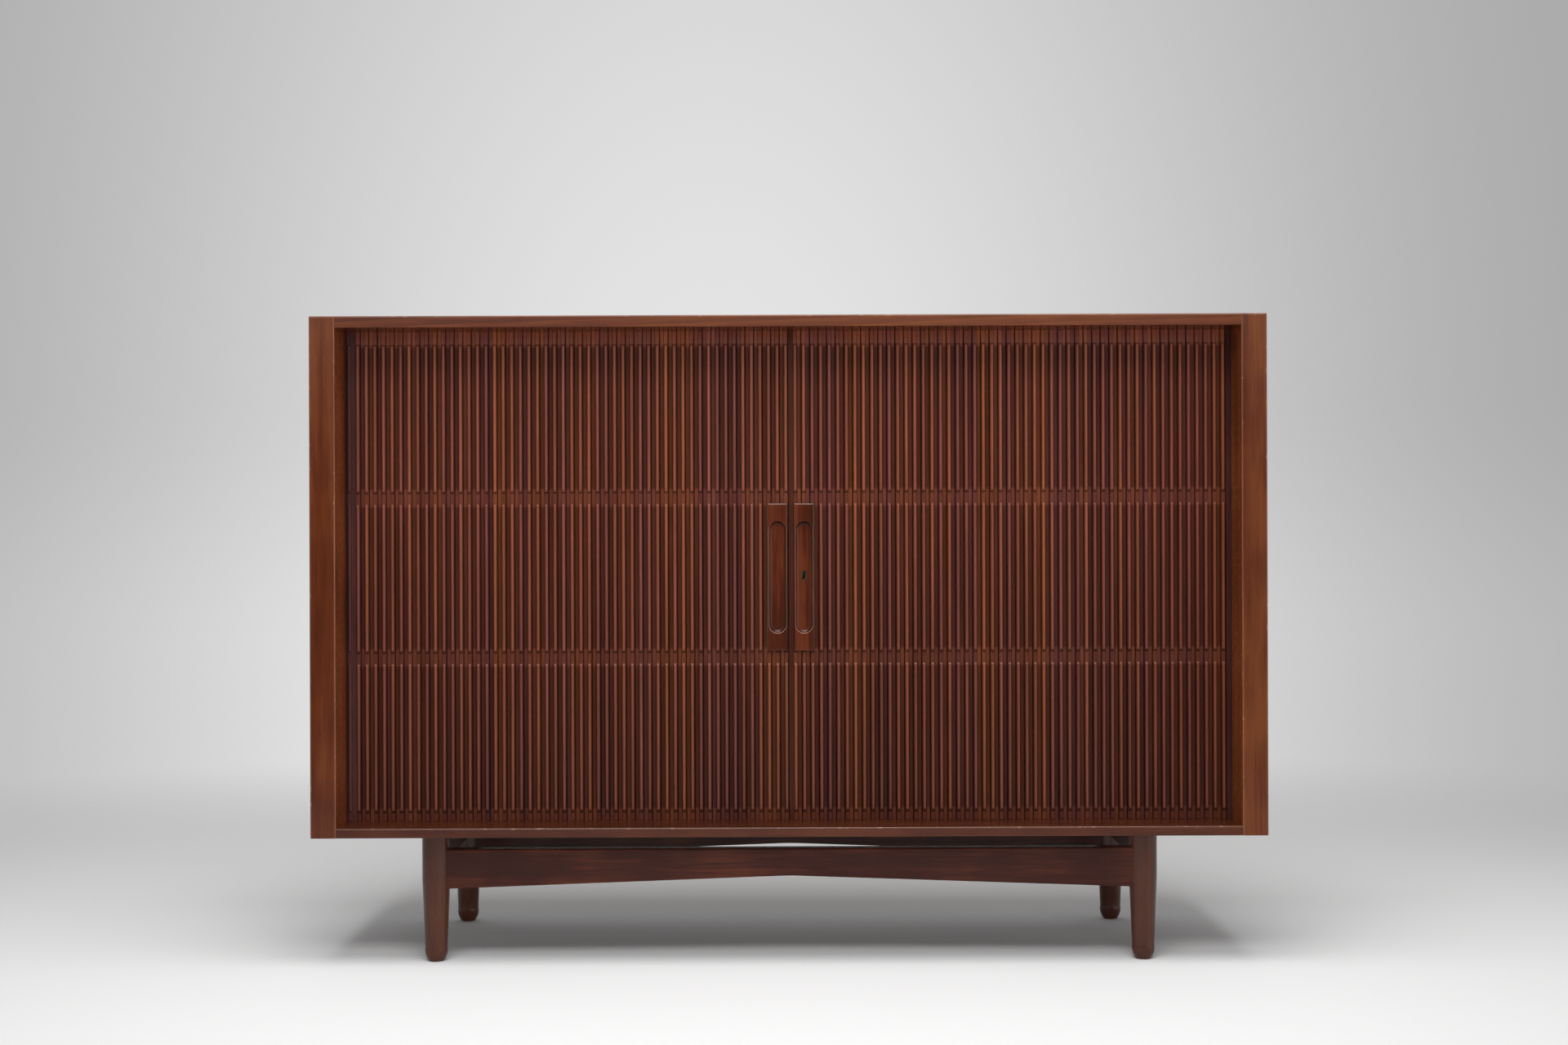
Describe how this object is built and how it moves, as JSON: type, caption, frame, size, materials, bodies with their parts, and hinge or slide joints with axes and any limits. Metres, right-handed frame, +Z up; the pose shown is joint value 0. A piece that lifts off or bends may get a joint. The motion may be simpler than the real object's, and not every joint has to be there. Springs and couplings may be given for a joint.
{
  "type": "tambour door cabinet",
  "caption": "Low wooden cabinet with sliding tambour doors of beaded laths, scooped handles, a lock, and a base of turned legs with arched rails.",
  "frame": {"origin": "on the floor under the middle of the cabinet", "axes": "+X to the right of someone facing the doors, +Y from the front to the back, +Z up"},
  "size_m": [1.5, 0.45, 1.019],
  "materials": {
    "case_wood": "oiled dark reddish-brown wood, satin, a little worn on the edges",
    "slat_wood": "oiled dark wood laths that differ a little in tone, satin",
    "handle_wood": "oiled dark reddish-brown wood, satin",
    "base_wood": "oiled dark brown wood, satin",
    "inner_wood": "lighter oiled veneer, satin",
    "back_board": "plain veneered board, matt",
    "canvas": "unbleached canvas",
    "lock_steel": "dull steel",
    "keyhole_metal": "worn pale brass",
    "pin_brass": "brass"
  },
  "bodies": {
    "case": {"left_post": "case_wood", "right_post": "case_wood", "left_side": "case_wood", "right_side": "case_wood", "top_panel": "case_wood", "bottom_panel": "case_wood", "back_panel": "back_board", "false_back": "inner_wood", "left_liner": "inner_wood", "right_liner": "inner_wood", "partition": "inner_wood", "left_shelf": "inner_wood", "right_shelf": "inner_wood", "shelf_pins": "pin_brass", "tail_slats": "slat_wood", "tail_canvas": "canvas", "front_left_leg": "base_wood", "front_right_leg": "base_wood", "rear_left_leg": "base_wood", "rear_right_leg": "base_wood", "front_rail": "base_wood", "rear_rail": "base_wood", "left_bearer": "base_wood", "right_bearer": "base_wood", "base_screws": "lock_steel"},
    "left_door": {"left_stile": "slat_wood", "left_lead_slats": "slat_wood", "left_handle": "handle_wood", "keeper": "lock_steel", "left_slats_01": "slat_wood"},
    "right_door": {"right_stile": "slat_wood", "right_lead_slats": "slat_wood", "right_handle": "handle_wood", "keyhole_liner": "keyhole_metal", "lock_case": "lock_steel", "lock_screws": "lock_steel", "right_slats_01": "slat_wood"},
    "lock_claw": {"lock_claw": "lock_steel"},
    "left_curtain_02": {"left_slats_02": "slat_wood"},
    "left_curtain_03": {"left_slats_03": "slat_wood"},
    "left_curtain_04": {"left_slats_04": "slat_wood"},
    "left_curtain_05": {"left_slats_05": "slat_wood"},
    "left_curtain_06": {"left_slats_06": "slat_wood"},
    "left_curtain_07": {"left_slats_07": "slat_wood"},
    "left_curtain_08": {"left_slats_08": "slat_wood"},
    "left_curtain_09": {"left_slats_09": "slat_wood"},
    "left_curtain_10": {"left_slats_10": "slat_wood"},
    "left_curtain_11": {"left_slats_11": "slat_wood"},
    "left_curtain_12": {"left_slats_12": "slat_wood"},
    "right_curtain_02": {"right_slats_02": "slat_wood"},
    "right_curtain_03": {"right_slats_03": "slat_wood"},
    "right_curtain_04": {"right_slats_04": "slat_wood"},
    "right_curtain_05": {"right_slats_05": "slat_wood"},
    "right_curtain_06": {"right_slats_06": "slat_wood"},
    "right_curtain_07": {"right_slats_07": "slat_wood"},
    "right_curtain_08": {"right_slats_08": "slat_wood"},
    "right_curtain_09": {"right_slats_09": "slat_wood"},
    "right_curtain_10": {"right_slats_10": "slat_wood"},
    "right_curtain_11": {"right_slats_11": "slat_wood"},
    "right_curtain_12": {"right_slats_12": "slat_wood"}
  },
  "joints": [
    {"name": "left_door_slide", "type": "slide", "parent": "case", "child": "left_door", "axis": [-1, 0, 0], "range_m": [0, 0.64438], "deforming": ["left_slats_01"]},
    {"name": "left_curtain_02_slide", "type": "slide", "parent": "case", "child": "left_curtain_02", "axis": [-1, 0.0006, 0], "range_m": [0, 0.58951], "deforming": ["left_slats_02"]},
    {"name": "left_curtain_03_slide", "type": "slide", "parent": "case", "child": "left_curtain_03", "axis": [-1, 0.0013, 0], "range_m": [0, 0.53464], "deforming": ["left_slats_03"]},
    {"name": "left_curtain_04_slide", "type": "slide", "parent": "case", "child": "left_curtain_04", "axis": [-1, 0.0022, 0], "range_m": [0, 0.47976], "deforming": ["left_slats_04"]},
    {"name": "left_curtain_05_slide", "type": "slide", "parent": "case", "child": "left_curtain_05", "axis": [-1, 0.0033, 0], "range_m": [0, 0.42488], "deforming": ["left_slats_05"]},
    {"name": "left_curtain_06_slide", "type": "slide", "parent": "case", "child": "left_curtain_06", "axis": [-1, 0.0047, 0], "range_m": [0, 0.37], "deforming": ["left_slats_06"]},
    {"name": "left_curtain_07_slide", "type": "slide", "parent": "case", "child": "left_curtain_07", "axis": [-1, 0.0067, 0], "range_m": [0, 0.31513], "deforming": ["left_slats_07"]},
    {"name": "left_curtain_08_slide", "type": "slide", "parent": "case", "child": "left_curtain_08", "axis": [-1, 0.0094, 0], "range_m": [0, 0.26026], "deforming": ["left_slats_08"]},
    {"name": "left_curtain_09_slide", "type": "slide", "parent": "case", "child": "left_curtain_09", "axis": [-0.9999, 0.0136, 0], "range_m": [0, 0.20538], "deforming": ["left_slats_09"]},
    {"name": "left_curtain_10_slide", "type": "slide", "parent": "case", "child": "left_curtain_10", "axis": [-0.9998, 0.0209, 0], "range_m": [0, 0.15052], "deforming": ["left_slats_10"]},
    {"name": "left_curtain_11_slide", "type": "slide", "parent": "case", "child": "left_curtain_11", "axis": [-0.9993, 0.0366, 0], "range_m": [0, 0.09567], "deforming": ["left_slats_11"]},
    {"name": "left_curtain_12_slide", "type": "slide", "parent": "case", "child": "left_curtain_12", "axis": [-0.9956, 0.0941, 0], "range_m": [0, 0.04091], "deforming": ["left_slats_12"]},
    {"name": "right_door_slide", "type": "slide", "parent": "case", "child": "right_door", "axis": [1, 0, 0], "range_m": [0, 0.63696], "deforming": ["right_slats_01"]},
    {"name": "right_curtain_02_slide", "type": "slide", "parent": "case", "child": "right_curtain_02", "axis": [1, 0.0006, 0], "range_m": [0, 0.58209], "deforming": ["right_slats_02"]},
    {"name": "right_curtain_03_slide", "type": "slide", "parent": "case", "child": "right_curtain_03", "axis": [1, 0.0013, 0], "range_m": [0, 0.52722], "deforming": ["right_slats_03"]},
    {"name": "right_curtain_04_slide", "type": "slide", "parent": "case", "child": "right_curtain_04", "axis": [1, 0.0022, 0], "range_m": [0, 0.47234], "deforming": ["right_slats_04"]},
    {"name": "right_curtain_05_slide", "type": "slide", "parent": "case", "child": "right_curtain_05", "axis": [1, 0.0034, 0], "range_m": [0, 0.41746], "deforming": ["right_slats_05"]},
    {"name": "right_curtain_06_slide", "type": "slide", "parent": "case", "child": "right_curtain_06", "axis": [1, 0.0048, 0], "range_m": [0, 0.36258], "deforming": ["right_slats_06"]},
    {"name": "right_curtain_07_slide", "type": "slide", "parent": "case", "child": "right_curtain_07", "axis": [1, 0.0068, 0], "range_m": [0, 0.30771], "deforming": ["right_slats_07"]},
    {"name": "right_curtain_08_slide", "type": "slide", "parent": "case", "child": "right_curtain_08", "axis": [1, 0.0097, 0], "range_m": [0, 0.25284], "deforming": ["right_slats_08"]},
    {"name": "right_curtain_09_slide", "type": "slide", "parent": "case", "child": "right_curtain_09", "axis": [0.9999, 0.0141, 0], "range_m": [0, 0.19797], "deforming": ["right_slats_09"]},
    {"name": "right_curtain_10_slide", "type": "slide", "parent": "case", "child": "right_curtain_10", "axis": [0.9998, 0.022, 0], "range_m": [0, 0.1431], "deforming": ["right_slats_10"]},
    {"name": "right_curtain_11_slide", "type": "slide", "parent": "case", "child": "right_curtain_11", "axis": [0.9992, 0.0397, 0], "range_m": [0, 0.08826], "deforming": ["right_slats_11"]},
    {"name": "right_curtain_12_slide", "type": "slide", "parent": "case", "child": "right_curtain_12", "axis": [0.9934, 0.1149, 0], "range_m": [0, 0.03353], "deforming": ["right_slats_12"]},
    {"name": "claw_swing", "type": "hinge", "parent": "right_door", "child": "lock_claw", "pos_m": [0.0065, -0.1215, 0.596], "axis": [0, -1, 0], "range_deg": [0, 100]}
  ],
  "couplings": [
    {"joint": "left_curtain_02_slide", "follows": "left_door_slide", "ratio": 0.91484},
    {"joint": "left_curtain_03_slide", "follows": "left_door_slide", "ratio": 0.82967},
    {"joint": "left_curtain_04_slide", "follows": "left_door_slide", "ratio": 0.74451},
    {"joint": "left_curtain_05_slide", "follows": "left_door_slide", "ratio": 0.65935},
    {"joint": "left_curtain_06_slide", "follows": "left_door_slide", "ratio": 0.57418},
    {"joint": "left_curtain_07_slide", "follows": "left_door_slide", "ratio": 0.48902},
    {"joint": "left_curtain_08_slide", "follows": "left_door_slide", "ratio": 0.40387},
    {"joint": "left_curtain_09_slide", "follows": "left_door_slide", "ratio": 0.31871},
    {"joint": "left_curtain_10_slide", "follows": "left_door_slide", "ratio": 0.23357},
    {"joint": "left_curtain_11_slide", "follows": "left_door_slide", "ratio": 0.14846},
    {"joint": "left_curtain_12_slide", "follows": "left_door_slide", "ratio": 0.063474},
    {"joint": "right_curtain_02_slide", "follows": "right_door_slide", "ratio": 0.91384},
    {"joint": "right_curtain_03_slide", "follows": "right_door_slide", "ratio": 0.82769},
    {"joint": "right_curtain_04_slide", "follows": "right_door_slide", "ratio": 0.74153},
    {"joint": "right_curtain_05_slide", "follows": "right_door_slide", "ratio": 0.65538},
    {"joint": "right_curtain_06_slide", "follows": "right_door_slide", "ratio": 0.56922},
    {"joint": "right_curtain_07_slide", "follows": "right_door_slide", "ratio": 0.48307},
    {"joint": "right_curtain_08_slide", "follows": "right_door_slide", "ratio": 0.39692},
    {"joint": "right_curtain_09_slide", "follows": "right_door_slide", "ratio": 0.31078},
    {"joint": "right_curtain_10_slide", "follows": "right_door_slide", "ratio": 0.22465},
    {"joint": "right_curtain_11_slide", "follows": "right_door_slide", "ratio": 0.13854},
    {"joint": "right_curtain_12_slide", "follows": "right_door_slide", "ratio": 0.052628}
  ]
}
